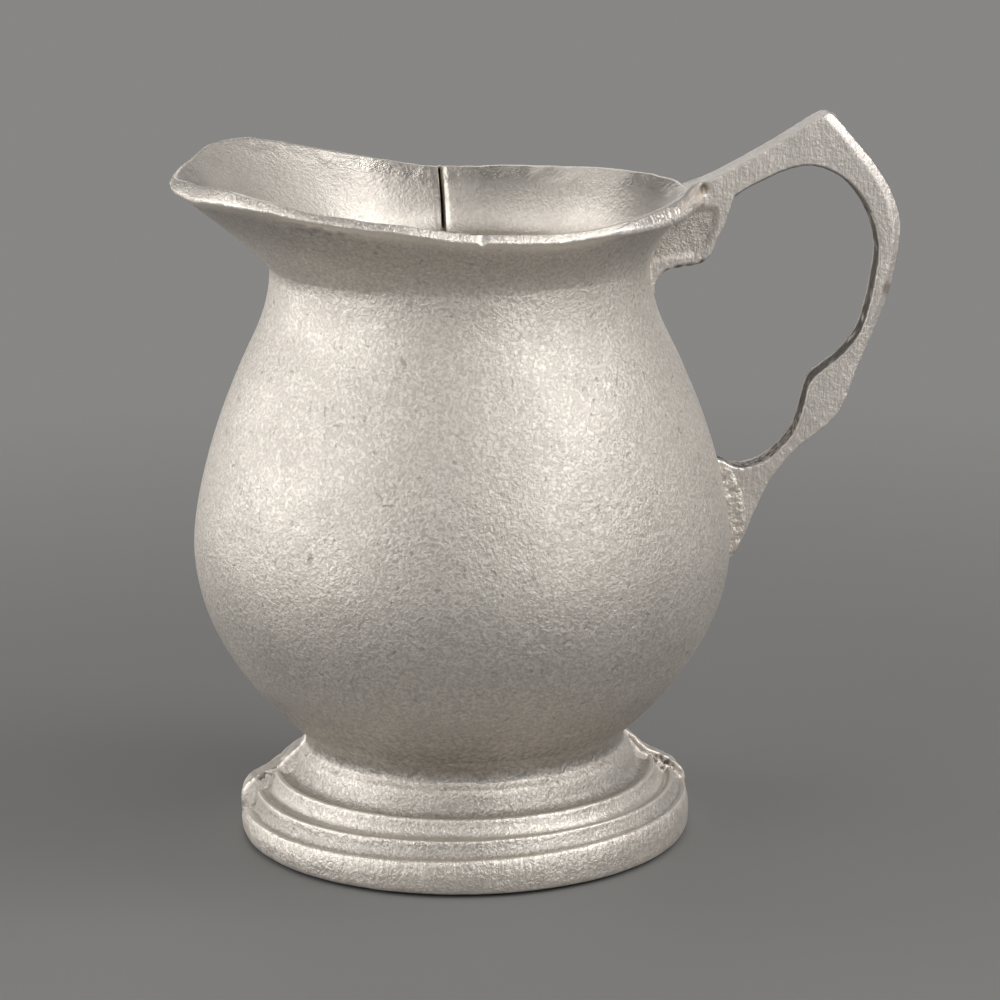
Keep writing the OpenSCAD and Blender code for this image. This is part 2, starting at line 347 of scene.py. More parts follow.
# %% [markdown]
# On the real jug the body is two castings, soldered on the plane across the mouth and
# filed smooth. It is modelled as one skin so that the light runs over the seam: a ring
# of vertices is extruded and scaled ring by ring up the bowl, and the flare is drawn out
# to the lip in code. The columns of vertices stand closer together at the seam, where a
# slit was left open.

# %% Body skin
BOWL_RINGS, FLARE_RINGS = 54, 26
levels = [i / BOWL_RINGS for i in range(BOWL_RINGS + 1)]
levels += [1 + (i + 1) / FLARE_RINGS for i in range(FLARE_RINGS)]
SEAMS, COLUMNS = (90, 270), 74
seam_steps = [0.0, 0.3, 0.55, 0.85, 1.25, 1.9, 2.8]
widest = seam_steps[-1]
quarter = seam_steps + [widest + (90 - widest) * (i + 1) / COLUMNS for i in range(COLUMNS)]
around = sorted({round(seam + side * step, 6) % 360
                 for seam in SEAMS for side in (-1, 1) for step in quarter})


def extrude_body():
    ring = [(BASE_R * math.cos(math.radians(a)), BASE_R * math.sin(math.radians(a)), BASE_H)
            for a in around]
    piece = loop_of("body", ring)

    def draw_up():
        low_r, low_z = skin(0, 0)
        for u in levels[1:]:
            r, z = skin(math.pi / 2, u)
            bpy.ops.mesh.extrude_edges_move(
                TRANSFORM_OT_translate={"value": (0, 0, (z - low_z) * MM)})
            bpy.ops.transform.resize(value=(r / low_r, r / low_r, 1),
                                     center_override=(0, 0, z * MM))
            low_r, low_z = r, z

    edit(piece, draw_up)
    return piece


def draw_out_flare(piece):
    heights = [skin(math.pi / 2, u)[1] for u in levels]
    for vertex in piece.data.vertices:
        z = vertex.co.z / MM
        level = min(range(len(levels)), key=lambda i: abs(heights[i] - z))
        if levels[level] > 1:
            angle = math.atan2(vertex.co.y, vertex.co.x)
            r, h = skin(angle, levels[level])
            vertex.co = Vector((r * math.cos(angle), r * math.sin(angle), h)) * MM


body = extrude_body()
draw_out_flare(body)
edit(body, lambda: bpy.ops.mesh.normals_make_consistent(inside=False))
side = body.data.polygons[0]
if side.normal.x * side.center.x + side.normal.y * side.center.y < 0:
    edit(body, bpy.ops.mesh.flip_normals)
print("body skin:", len(body.data.vertices), "vertices")

# %% [markdown]
# Solidify gives the skin its thickness, measured inwards, and Bevel rounds the two sharp
# edges that this leaves at the rim.

# %% Wall and rim
apply(body, "SOLIDIFY", thickness=WALL * MM, offset=-1, use_even_offset=True)
apply(body, "BEVEL", width=0.42 * MM, segments=3, limit_method="ANGLE",
      angle_limit=math.radians(50), profile=0.5)
print("body wall:", len(body.data.vertices), "vertices")

# %% [markdown]
# A casting that was filed and tumbled by hand is never quite true. Slow waves of less
# than a tenth of a millimetre bend the reflections, the rim's edges wander a little,
# and the seam leaves a nick in the near rim and a slit down the inside of the far wall.
# Three numbers are stored for the material: how much darker it is painted (painted shade low on
# the bowl, under the flare and in the slit, and a dark torn patch), where it is worn, and where it
# is inside.

# %% Hand-finished surface of the body
SLIT_DEPTH = 8.0
# degrees round the axis, with the handle at 0 and the near seam at 270
TORN_PLACE = (224, 229, 238, 244)
UNDER_LIP = (175, 182)
NEAR_SIDE = (228, 255)


def wall_depth(point):
    """How far in mm a point lies inside the outer skin, level with it."""
    angle = math.atan2(point.y, point.x)
    r, z = math.hypot(point.x, point.y) / MM, point.z / MM
    if z <= NECK_H:
        return bowl_radius(max(z, BASE_H)) - r
    share = min(1.0, (z - NECK_H) / (rim_height(angle) - NECK_H))
    return skin(angle, 1 + share)[0] - r


def age_body(piece):
    tarnish, wear = [], []
    for vertex in piece.data.vertices:
        p = vertex.co.copy()
        angle = math.atan2(p.y, p.x)
        turn = math.degrees(angle) % 360
        below = rim_height(angle) - p.z / MM
        depth, across = wall_depth(p), abs(p.x) / MM
        outside = 1.0 if depth < 1 else 0.0
        near_rim = ramp(below, 2.2, 0.2)
        move = rough(p, 16, 1) * 0.08 + rough(p, 6, 2) * 0.03
        move += near_rim * (rough(p, 3.2, 3) * 0.12 + rough(p, 1.3, 4) * 0.08)
        lift = near_rim * (rough(p, 5, 5) * 0.12 + rough(p, 1.6, 6) * 0.08)
        # the casting is thicker or thinner along the edge, measured across its slope
        thicker = (rim_bend(angle, THICKNESS) - WALL) * 0.707 * ramp(below, 3.4, 0.4)
        thicker *= 1 - min(1.0, max(0.0, depth / 1.2))
        move += thicker
        lift -= thicker
        # painted shade: the outer wall is painted darker towards the bottom of the bowl
        dark = 0.68 * ramp(p.z / MM, 28, 17) * outside
        # a torn patch under the edge, and the shade under the flare
        torn = between(turn, *TORN_PLACE) * between(below, 0.5, 0.9, 1.6, 2.5)
        torn *= outside * ramp(rough(p, 1.1, 8), -0.1, 0.15)
        move -= 0.35 * torn
        under = ramp(below, 9.0, 3.5) * ramp(turn, *UNDER_LIP) * (1 - 0.5 * ramp(turn, *NEAR_SIDE))
        dark = max(dark, 0.9 * torn, (0.46 * outside if below > 0.9 else 0.0) * under)
        # the slit in the far seam, with a ridge on both sides
        slit_edge = 0.0
        if p.y > 0 and depth > 1 and below < SLIT_DEPTH + 1:
            open_share = ramp(below, SLIT_DEPTH + 1, SLIT_DEPTH - 1)
            cut = open_share * ramp(across, 0.30, 0.16)
            move += 1.25 * cut - 0.25 * open_share * between(across, 0.2, 0.36, 0.5, 1.0)
            # painted shade: the slit's groove is painted black
            dark = max(dark, 1.3 * cut)
            slit_edge = open_share * between(across, 0.26, 0.36, 0.6, 0.9)
        # the nick in the near rim
        if p.y < 0 and depth < 1 and below < 1.2:
            lift -= 0.3 * ramp(across, 0.6, 0.1) * ramp(below, 1.2, 0.2)
        vertex.co = p + outwards(p) * move * MM + Vector((0, 0, lift * MM))
        tarnish.append(dark)
        behind_web = ramp(p.x / MM, 15, 20) * ramp(below, 0.5, 0.9) * outside
        wear.append(max(near_rim * (1 - behind_web), slit_edge))
    store(piece, tarnish=tarnish, wear=wear)


attribute(body, "inner", lambda v: 1.0 if wall_depth(v.co) > 0.6 * WALL else 0.0)
age_body(body)
finish_piece(body, "pewter", "spout_shell", "handle_shell", "shell_seam_solder")

# %% [markdown]
# The floor of the bowl is a disc let in between the shells. It is a turned shape: half
# of its section is laid out as a loop and spun right round the axis.

# %% Floor disc


def spun(name, section, turn=360, start=0, steps=128):
    x, y = math.cos(math.radians(start)), math.sin(math.radians(start))
    piece = loop_of(name, [(r * x, r * y, z) for r, z in section])

    def spin():
        bpy.ops.mesh.spin(steps=steps, angle=math.radians(turn), center=(0, 0, 0),
                          axis=(0, 0, 1))
        bpy.ops.mesh.select_all(action="SELECT")
        bpy.ops.mesh.remove_doubles(threshold=0.000005)
        if turn < 360:
            bpy.ops.mesh.fill_holes(sides=0)
        bpy.ops.mesh.normals_make_consistent(inside=False)

    edit(piece, spin)
    return piece


floor_section = [(0, 15.0), (19.6, 15.0), (21.4, 15.4), (21.9, 16.4), (21.6, 16.75),
                 (20.8, 16.55), (19.6, 16.5), (19.2, 16.42), (18.9, 16.5), (12, 16.52), (0, 16.5)]
floor_disc = spun("floor", floor_section, steps=96)
finish_piece(floor_disc, "pewter", "floor_disc")

# %% [markdown]
# The foot is a hollow moulding, cast in two halves. Its section goes up from the table:
# a rounded band, a narrow cove, two sharp ridges with hollows behind them and a slope
# that runs in to the waist. Each half is the same section spun through half a turn. The
# band's top was filed a little askew, lower under the spout than under the handle.

# %% Foot halves
foot_outside = [
    (29.9, 0.0), (30.9, 0.2), (31.75, 0.52), (32.02, 0.9), (32.15, 1.4), (32.2, 2.2),
    (32.2, 3.1), (32.0, 4.0), (31.8, 4.55), (31.58, 4.86), (31.25, 4.92), (30.95, 4.98),
    (30.65, 5.2), (30.4, 5.6), (30.2, 6.15), (30.08, 6.7), (29.92, 7.06), (29.6, 7.08),
    (29.1, 6.86), (28.6, 6.92), (28.15, 7.25), (27.78, 7.8), (27.52, 8.35), (27.35, 8.85),
    (27.15, 9.16), (26.8, 9.2), (26.3, 8.98), (25.7, 8.96), (25.1, 9.24), (24.6, 9.76),
    (24.3, 10.4), (24.1, 11.0), (23.92, 11.6), (23.68, 12.2), (23.3, 12.7), (22.95, 13.25),
    (22.75, 13.9), (22.7, 14.8)]
foot_crests = [(31.65, 4.85), (29.9, 7.1), (27.1, 9.2)]
foot_hollows = [(30.7, 5.1), (28.8, 6.9), (26.0, 8.8)]
foot_inside = [(17.5, 14.8), (17.5, 12.7), (20.6, 10.2), (24.5, 7.0), (28.2, 4.0), (29.0, 3.0),
               (29.05, 0.3), (29.3, 0.0)]
foot_section = [tuple(p) for p in through(foot_outside, 3)] + foot_inside
SEAM_GAP = 0.14
BAND_TILT, NEAR_LIFT = 0.8, 0.45


def rough_foot(piece, seed):
    for vertex in piece.data.vertices:
        p = vertex.co.copy()
        r, z = math.hypot(p.x, p.y) / MM, p.z / MM
        shown = ramp(r, 17.6, 19)
        move = shown * (rough(p, 7, seed) * 0.06 + rough(p, 2.2, seed + 1) * 0.03)
        lift = shown * rough(p, 4, seed + 2) * 0.04 * ramp(z, 0.05, 1)
        band = ramp(r, 28.6, 29.8) * between(z, 1.0, 4.6, 5.2, 9.0)
        lift += BAND_TILT * math.cos(math.atan2(p.y, p.x)) * band
        ridges = between(z, 2.5, 4.5, 11.5, 14.0)
        lift += NEAR_LIFT * max(0.0, -p.y / MM / r) * ridges
        edge = ramp(z, 0.6, 0.0) * ramp(r, 30.2, 30.9)
        move -= edge * max(0.0, rough(p, 2.0, seed + 3)) * 0.22
        vertex.co = p + outwards(p) * move * MM + Vector((0, 0, lift * MM))
        vertex.co.z = max(vertex.co.z, 0.0)


def nearness(vertex, places, reach):
    r, z = math.hypot(vertex.co.x, vertex.co.y) / MM, vertex.co.z / MM
    return ramp(min(math.hypot(r - pr, z - pz) for pr, pz in places), reach, reach * 0.2)


def foot_half(name, start, side, node):
    piece = spun(name, foot_section, turn=180, start=start, steps=150)
    for vertex in piece.data.vertices:
        if abs(vertex.co.y) < 0.2 * MM:
            vertex.co.y = side * SEAM_GAP * MM
    # the crests are lighter: partly worn metal, partly a painted highlight on their sharp edges
    attribute(piece, "wear", lambda v: nearness(v, foot_crests, 0.6))
    # painted shade: darker in the hollows behind the ridges and up towards the waist
    attribute(piece, "tarnish", lambda v: max(0.4 * nearness(v, foot_hollows, 1.3),
                                              0.45 * nearness(v, [(24.9, 9.6)], 2.4),
                                              0.5 * ramp(v.co.z / MM, 13.3, 14.3),
                                              # painted shadow: black along the lower edge, where
                                              # the foot meets the table
                                              1.4 * ramp(v.co.z / MM, 0.66, 0.5)))
    attribute(piece, "filed", lambda v: ramp(v.co.z / MM, 5.2, 4.6))
    attribute(piece, "inner", lambda v: ramp(math.hypot(v.co.x, v.co.y) / MM, 29.2, 29.0)
              * ramp(v.co.z / MM, 8.0, 7.0))
    rough_foot(piece, 10 + side)
    finish_piece(piece, "pewter", node)
    return piece


near_foot = foot_half("near_foot", 180, -1, "near_foot_half")
far_foot = foot_half("far_foot", 0, 1, "far_foot_half")

# %% [markdown]
# Where the foot's halves meet, solder filled the coves for a few millimetres and was
# filed off to a sharp crest on the seam, with small pits along it, painted dark as
# shade. Under the handle the near fin is lower than the far one, and a gap runs between
# them; the faces beside the gap are painted dark as shade, and each fin's near face
# below its crest is painted darker as shade. Each fin is a flat outline, filled and
# extruded to its thickness, whose outer ends slope back into the coves.

# %% Flash on the foot's seams
fin_back = [(28.9, 4.2), (24.5, 8.0), (21.0, 11.0), (19.5, 12.6), (19.0, 14.5)]
high_fin = [(31.6, 1.6), (32.0, 3.0), (32.15, 4.6), (32.05, 6.0), (31.0, 7.5), (29.6, 8.5),
            (28.4, 9.1), (26.9, 9.75), (25.6, 10.9), (24.6, 11.9), (23.3, 13.1), (22.7, 14.6)]
low_fin = [(31.6, 1.6), (32.0, 3.0), (32.05, 4.6), (31.6, 5.7), (30.9, 6.5), (29.9, 7.45),
           (28.8, 7.9), (27.6, 9.0), (26.7, 9.5), (25.5, 10.1), (24.5, 11.0), (23.7, 12.3),
           (23.0, 13.6), (22.7, 14.6)]


def fin(name, side, line, start, crest, stop, seed):
    """start and stop are the fin's ends along Y, crest the edge that was filed sharp."""
    outline = through(line, 4) + [Vector(p) for p in reversed(fin_back)]
    piece = loop_of(name, [(side * p.x, start, p.y) for p in outline])
    edit(piece, thicken_by(stop - start))
    remeshed(piece, 0.16, 2)
    out = Vector((side, 0, 0.9)).normalized()
    wear, pit_and_gap_shade, painted_face_shade = [], [], []
    for vertex in piece.data.vertices:
        p = vertex.co.copy()
        y = p.y / MM
        level = math.hypot(p.x, p.y) / max(1e-6, abs(p.x))
        shown = ramp(abs(p.x) / MM, 21.5, 23.2) * ramp(p.z / MM, 1.2, 3)
        slope = max(0.0, (crest - y) / (crest - start)) if y < crest else 0.0
        near_crest = ramp(abs(y - crest), 0.5, 0.1)
        pit = ramp(rough(p, 0.7, seed + 2), 0.05, 0.3) * ramp(abs(y - crest + 0.3), 0.6, 0.2)
        pit *= ramp(abs(abs(p.x) / MM - 28.6), 2.6, 1.2)
        bumpy = rough(p, 2.2, seed) * 0.12 + rough(p, 0.9, seed) * 0.1 + 0.1 * near_crest
        # the near side slopes back from the crest into the coves
        move = shown * (bumpy - 0.2 * pit) - 0.8 * (crest - start) * slope
        vertex.co = Vector((p.x / level, p.y, p.z)) + out * move * MM
        vertex.co.y += shown * rough(p, 1.0, seed + 5) * 0.12 * MM
        wear.append(near_crest * (1 - pit))
        gap = 0.0
        if side > 0:
            gap = ramp(abs(y - 0.06), 0.62, 0.42) * ramp(abs(abs(p.x) / MM - 28.9), 3.0, 2.2)
        # painted shade: the pits and the faces beside the gap between the fins are painted dark
        pit_and_gap_shade.append(max(pit, gap * (1 - near_crest)))
        # painted shade: the near face below the crest is painted darker, through the grain number
        painted_face_shade.append(0.9 * (1 - near_crest) * ramp(crest - y, 0.1, 0.5))
    store(piece, wear=wear, soot=pit_and_gap_shade, grain=painted_face_shade)
    return piece


fins = [fin("fin_spout", -1, high_fin, -2.2, -0.15, 3.6, 21),
        fin("fin_under_handle", 1, low_fin, -1.7, -0.6, -0.4, 22),
        fin("fin_behind", 1, high_fin, 0.5, 0.6, 3.8, 23)]
foot_flash = joined(fins, "foot_flash")
finish_piece(foot_flash, "solder", "foot_seam_solder", smooth=60)

# %% [markdown]
# A thin fillet of solder runs round the waist between the bowl and the foot. It is a
# turned shape again, with a hollow face, so that the joint reads as one soft line.

# %% Waist solder
waist_section = [(21.9, 12.9), (23.05, 12.9), (22.93, 13.4), (22.84, 13.9), (22.82, 14.4),
                 (22.9, 14.8), (23.1, 15.2), (23.42, 15.6), (23.85, 16.05), (24.32, 16.55),
                 (24.72, 17.0), (23.3, 16.6), (21.9, 15.4)]
waist_solder = spun("waist_solder", waist_section, steps=160)
for vertex in waist_solder.data.vertices:
    vertex.co += outwards(vertex.co) * rough(vertex.co, 3, 31) * 0.06 * MM
# painted shade: the waist is painted darker above its lowest part
attribute(waist_solder, "tarnish", lambda v: 0.55 * ramp(v.co.z / MM, 13.2, 14.0))
finish_piece(waist_solder, "solder", "bowl_joint_solder")

# %% [markdown]
# The handle is one flat casting with a bracket that reaches down the neck. Its outline
# is laid out as a loop, filled and extruded. Two webs run from its root round the rim,
# where the metal was filed level with the mouth, and a small knob crowns the peak.

# %% Handle blank
handle_outside = [
    (30.6, 91.6), (34.0, 93.0), (36.7, 94.2), (42.7, 97.3), (48.3, 100.6), (50.4, 101.8),
    (51.9, 102.15), (53.6, 100.5), (56.0, 97.6), (58.9, 94.0), (61.0, 90.2), (62.0, 86.4),
    (61.8, 82.6), (61.0, 78.6), (59.8, 74.4), (57.9, 69.9), (56.0, 65.4), (54.5, 61.3),
    (53.1, 58.9), (50.9, 57.0), (47.3, 54.2), (45.1, 51.7), (43.4, 49.2), (41.8, 45.8),
    (40.1, 41.9), (38.6, 39.2), (37.0, 38.0), (35.8, 38.4)]
handle_inside = [
    (35.4, 53.4), (36.6, 53.2), (38.6, 52.2), (40.3, 52.0), (42.2, 52.5), (43.9, 53.4),
    (45.4, 54.8), (47.1, 56.8), (48.0, 58.9), (48.6, 61.1), (49.5, 64.2), (51.6, 66.1),
    (54.0, 68.0), (56.5, 71.2), (57.7, 74.9), (58.5, 78.8), (58.9, 82.8), (58.1, 86.8),
    (56.0, 90.7), (53.1, 93.4), (49.7, 94.8), (46.1, 94.5), (41.8, 92.7), (38.6, 90.9),
    (37.7, 89.0), (37.0, 86.9), (36.0, 84.9), (35.2, 82.9), (33.8, 81.6), (31.6, 81.1),
    (29.2, 80.8), (27.8, 79.7), (26.9, 77.9), (25.6, 76.4), (25.2, 80.5), (27.0, 85.5),
    (29.0, 89.5)]
HANDLE_T = 4.5


outline = through(handle_outside, 4)[:-1] + through(handle_inside, 4)
handle = loop_of("handle_casting", [(p.x, -HANDLE_T / 2, p.y) for p in outline])
edit(handle, thicken_by(HANDLE_T))
print("handle blank:", len(handle.data.vertices), "vertices")

# %% [markdown]
# A web starts flush in the rim's edge and leaves it on a curve that runs into the flat
# face of the handle, growing taller on the way. Its section is a five-sided loop,
# extruded from place to place along that curve.

# %% Webs at the handle's root
# plan x, distance from the middle plane, underside z, top z
web_path = [
    (17.6, 26.8, 89.7, 90.5), (20.4, 24.8, 89.7, 91.2), (22.9, 22.6, 89.7, 91.65),
    (25.2, 20.0, 89.7, 91.9), (27.3, 17.1, 89.7, 92.1), (29.0, 14.0, 89.7, 92.25),
    (30.4, 10.8, 89.7, 92.4), (31.4, 7.7, 89.7, 92.5), (32.3, 4.9, 89.7, 92.65),
    (33.3, 3.0, 89.8, 92.8), (34.6, 1.8, 90.0, 93.1)]
WEB_THICK, WEB_LEAN, WEB_FOOT = 1.2, 0.35, 0.5
MOUTH_LEVEL = 90.6
KNOB_RADIUS, KNOB_AT = 1.25, Vector((51.75, 0, 101.0))


def web(side):
    path = through(web_path, 3)
    rings = []
    for i, p in enumerate(path):
        ahead = path[min(i + 1, len(path) - 1)] - path[max(i - 1, 0)]
        out = Vector((abs(ahead.y), abs(ahead.x))).normalized()
        x, y, low, high = p
        if side > 0:
            high = min(high, MOUTH_LEVEL + max(0.0, x - 31) * 0.8)
        spread = WEB_FOOT * between(x, 18, 21, 33, 34.5)
        lean = WEB_LEAN * ramp(high, 90.3, 91.5)
        ring = [(spread, low), (spread, min(MOUTH_LEVEL, high - 0.1)), (-lean, high),
                (-WEB_THICK, high + 0.05), (-WEB_THICK, low)]
        rings.append([(x + out.x * off, side * (y + out.y * off), z) for off, z in ring])
    piece = loop_of("web", rings[0])

    def sweep():
        bpy.ops.mesh.edge_face_add()
        for _ in rings[1:]:
            bpy.ops.mesh.extrude_region_move(TRANSFORM_OT_translate={"value": (MM, 0, 0)})

    edit(piece, sweep)
    for vertex, point in zip(piece.data.vertices, [q for ring in rings for q in ring]):
        vertex.co = Vector(point) * MM
    edit(piece, lambda: bpy.ops.mesh.normals_make_consistent(inside=False))
    return piece


def knob():
    bpy.ops.object.select_all(action="DESELECT")
    bpy.ops.mesh.primitive_uv_sphere_add(segments=24, ring_count=12,
                                         radius=KNOB_RADIUS * MM, location=(0, 0, 0))
    piece = bpy.context.object
    for vertex in piece.data.vertices:
        wide = Vector((vertex.co.x * 1.05, vertex.co.y * 1.75, vertex.co.z))
        vertex.co = wide + KNOB_AT * MM
    return piece


joined([handle, web(-1), web(1), knob()], "handle_casting")
print("handle with webs:", len(handle.data.vertices), "vertices")

# %% [markdown]
# Remesh turns blank, webs and knob into one even skin, and Smooth rounds every edge and
# inner corner a little, as tumbling does with the real metal.

# %% Handle skin
remeshed(handle, 0.25, 4)
print("handle skin:", len(handle.data.vertices), "vertices")

# %% [markdown]
# Sculpting in code: the outer edge behind the peak is filed to a wide bevel, the
# bracket's panel is sunk and grainy from the mould, the inner face of the loop is
# rough, and short ripples from the file cross the webs.

# %% Handle surface
sunk_outline = [(36.2, 89.6), (35.9, 86.6), (34.9, 83.9), (33.0, 82.5), (28.8, 82.0),
                (25.5, 81.5), (25.5, 84.5), (27.5, 88.6), (30.6, 89.6)]
panel_line = [Vector(p) for p in sunk_outline + sunk_outline[:1]]
outer_line = through(handle_outside[6:20], 4)
outside_line = through(handle_outside[1:], 2)
inner_line = through(handle_inside[:24], 3)
bracket_line = through(handle_inside[24:34], 3)
NOTCH_AT, STAIN_AT = (34.1, 92.0), (60.1, 77.3)


def distance_to(x, z, curve):
    nearest = 1e9
    for p, q in zip(curve, curve[1:]):
        step = q - p
        t = ((x - p.x) * step.x + (z - p.y) * step.y) / step.length_squared
        t = min(1.0, max(0.0, t))
        nearest = min(nearest, math.hypot(x - p.x - t * step.x, z - p.y - t * step.y))
    return nearest


def is_within(x, z, polygon):
    within = False
    for p, q in zip(polygon, polygon[1:]):
        if (p.y > z) != (q.y > z) and x < (q.x - p.x) * (z - p.y) / (q.y - p.y) + p.x:
            within = not within
    return within


def ripple(x, y, z):
    angle = math.atan2(abs(y), x)
    along = angle * 31.5 + 0.35 * (z - 91.0) ** 2 + 0.5 * math.sin(angle * 37)
    share = between(angle, 0.10, 0.3, 0.6, 0.85) * ramp(z, 89.6, 90.0)
    return share * (math.sin(along * math.tau / 0.8) * 0.09
                    + math.sin(along * math.tau / 0.53) * 0.05)


def dress_handle(piece):
    grain, edge, stain, soot = [], [], [], []
    for vertex in piece.data.vertices:
        p = vertex.co.copy()
        x, y, z = p.x / MM, p.y / MM, p.z / MM
        side = 1 if y > 0 else -1
        face = between(abs(y), 1.45, 2.05, 2.4, 2.9)
        sunk = 0.0
        if x < 37 and z < 90.5 and is_within(x, z, panel_line):
            sunk = ramp(distance_to(x, z, panel_line), 0.0, 1.0) * face
            y -= side * sunk * (0.36 + 0.12 * rough(p, 1.0, 41) + 0.1 * rough(p, 0.5, 42))
        bevel = 0.0
        if z > 58 and x > 51:
            bevel = ramp(distance_to(x, z, outer_line), 1.25, 0.1) * face * ramp(z, 60, 78)
            y -= side * bevel * 0.5
        to_loop = distance_to(x, z, inner_line) if x > 35 else 9.0
        hollow = ramp(to_loop, 0.45, 0.12)
        near = 1 if y < 0 else 0
        notch = ramp(math.hypot(x - NOTCH_AT[0], z - NOTCH_AT[1]), 1.0, 0.3) * near
        y += 0.45 * notch
        away = Vector((rough(p, 2.4, 45), 0, rough(p, 2.4, 46))) * 0.05
        away += Vector((rough(p, 0.8, 47), 0, rough(p, 0.8, 48))) * 0.05 * hollow
        y -= side * face * (0.05 * rough(p, 5, 43) + 0.02 * rough(p, 1.6, 44))
        if z > 89 and x < 35.5 and abs(y) > 2.6:
            wave = ripple(x, y, z)
            away += Vector((wave * x / 31, wave * y / 31, 0))
        vertex.co = (Vector((x, y, z)) + away) * MM
        grain.append(max(sunk, hollow * 0.7 * ramp(abs(y), 2.05, 1.8)))
        # the loop's inner face is painted black as shade, between two bright edges
        rim_of_loop = ramp(to_loop, 0.6, 0.25) * max(ramp(y, -1.85, -2.05), ramp(y, 1.0, 1.4))
        rim_of_loop *= ramp(z, 92, 86)
        black = hollow * between(y, -2.05, -1.75, 1.0, 1.4)
        black *= ramp(rough(p, 1.5, 49), -0.75, -0.2)
        black *= 1 - 0.75 * ramp(z, 61, 57) * ramp(rough(p, 0.55, 52), -0.15, 0.25)
        # painted shade along the near corner of the loop's arch
        if z > 88 and x > 38:
            black = max(black, 0.75 * ramp(to_loop, 0.4, 0.2))
        # painted shadow: a ragged black line under the bracket
        if z < 82.5 and x < 36.5:
            black = max(black, ramp(distance_to(x, z, bracket_line), 0.7, 0.3)
                        * ramp(rough(p, 0.9, 50), -0.3, 0.2) * ramp(x, 27.5, 29))
        soot.append(black)
        corner = 0.0
        if x > 36 and z < 101:
            corner = ramp(distance_to(x, z, outside_line), 0.5, 0.2) * ramp(y, -1.7, -2.0)
        edge.append(max(bevel, rim_of_loop, corner, ramp(abs(y), 2.6, 3.0) if z > 89 else 0.0))
        spot = ramp(math.hypot((x - STAIN_AT[0]) / 0.7, z - STAIN_AT[1]), 1.5, 0.4) * near
        stain.append(max(notch, spot * 0.8))
    store(piece, grain=grain, wear=edge, stain=stain, soot=soot)


dress_handle(handle)
finish_piece(handle, "cast_pewter", "handle", smooth=60)

# %% [markdown]
# Solder holds the handle: a thin line round the bracket on the neck and a lumpy band
# beside its tail on the belly. Each is a small block laid on the body's surface,
# remeshed and pushed about by noise.

# %% Handle solder


BEAD_ROWS = 28


def back_radius(z):
    """Radius of the body under the handle, bowl and flare."""
    if z < NECK_H:
        return bowl_radius(z)
    return skin(0, 1 + (z - NECK_H) / (RIM_H + BACK_RISE - NECK_H))[0]


def bead(name, x_out, low, high, half_width, seed, lump):
    """A strip of solder on the handle's plane, from low to high, standing x_out proud."""
    heights = [low + (high - low) * i / BEAD_ROWS for i in range(BEAD_ROWS + 1)]
    outline = [(back_radius(z) - 0.8, z) for z in heights]
    for i in range(BEAD_ROWS, -1, -1):
        swell = math.sin(math.pi * (0.06 + 0.88 * i / BEAD_ROWS)) ** 0.5
        outline.append((back_radius(heights[i]) + x_out * swell, heights[i]))
    piece = loop_of(name, [(x, -half_width, z) for x, z in outline])
    edit(piece, thicken_by(2 * half_width))
    remeshed(piece, 0.2, 6)
    for vertex in piece.data.vertices:
        p = vertex.co.copy()
        push = Vector((rough(p, 1.0, seed), rough(p, 1.0, seed + 1), rough(p, 1.0, seed + 2)))
        fine = Vector((rough(p, 0.5, seed + 3), rough(p, 0.5, seed + 4), 0))
        vertex.co = p + (push * lump + fine * lump * 0.5) * MM
    return piece


tail_solder = bead("tail_solder", 2.5, 39.6, 52.4, 2.75, 51, 0.17)
neck_solder = bead("neck_solder", 0.35, 77.4, 87.2, 2.5, 61, 0.08)
for piece, solid, shine in ((tail_solder, "lower_handle_solder", 0.6),
                            (neck_solder, "upper_handle_solder", 0.1)):
    attribute(piece, "grain", lambda v: 0.2)
    attribute(piece, "wear", lambda v: shine + 0.3 * ramp(rough(v.co, 1.2, 71), -0.3, 0.4))
    finish_piece(piece, "solder", solid, smooth=60)

# %% [markdown]
# Node helpers: a node is made with its settings and inputs in one call, and an input may
# be a number or another node's output.

# %% Helpers for materials


def node(tree, kind, inputs=None, **settings):
    made = tree.nodes.new(kind)
    for key, value in settings.items():
        setattr(made, key, value)
    for key, value in (inputs or {}).items():
        if isinstance(value, bpy.types.NodeSocket):
            tree.links.new(value, made.inputs[key])
        else:
            made.inputs[key].default_value = value
    return made


def group(tree, inner_tree, **inputs):
    return node(tree, "ShaderNodeGroup", inputs, node_tree=inner_tree).outputs


def sums(tree, operation, *values, clamp=False):
    return node(tree, "ShaderNodeMath", dict(enumerate(values)), operation=operation,
                use_clamp=clamp).outputs[0]


def remap(tree, value, low, high, to_low=0.0, to_high=1.0):
    made = node(tree, "ShaderNodeMapRange", {"Value": value, "From Min": low, "From Max": high,
                                             "To Min": to_low, "To Max": to_high},
                interpolation_type="SMOOTHSTEP")
    return made.outputs["Result"]


def mixed(tree, factor, first, second):
    made = node(tree, "ShaderNodeMix", {0: factor, 6: first, 7: second}, data_type="RGBA")
    return made.outputs[2]


def node_group(name, inputs, outputs):
    """An input without a value is a vector, and the others are numbers."""
    tree = bpy.data.node_groups.new(name, "ShaderNodeTree")
    for label, value in inputs:
        kind = "NodeSocketVector" if value is None else "NodeSocketFloat"
        socket = tree.interface.new_socket(name=label, in_out="INPUT", socket_type=kind)
        if value is not None:
            socket.default_value = value
    for label in outputs:
        tree.interface.new_socket(name=label, in_out="OUTPUT", socket_type="NodeSocketFloat")
    return tree, tree.nodes.new("NodeGroupInput").outputs, tree.nodes.new("NodeGroupOutput").inputs


def stored(tree, name):
    """A number that the modelling cells stored at each vertex."""
    return node(tree, "ShaderNodeAttribute", attribute_name=name).outputs["Fac"]


def times(tree, value, share):
    return sums(tree, "MULTIPLY", value, share)


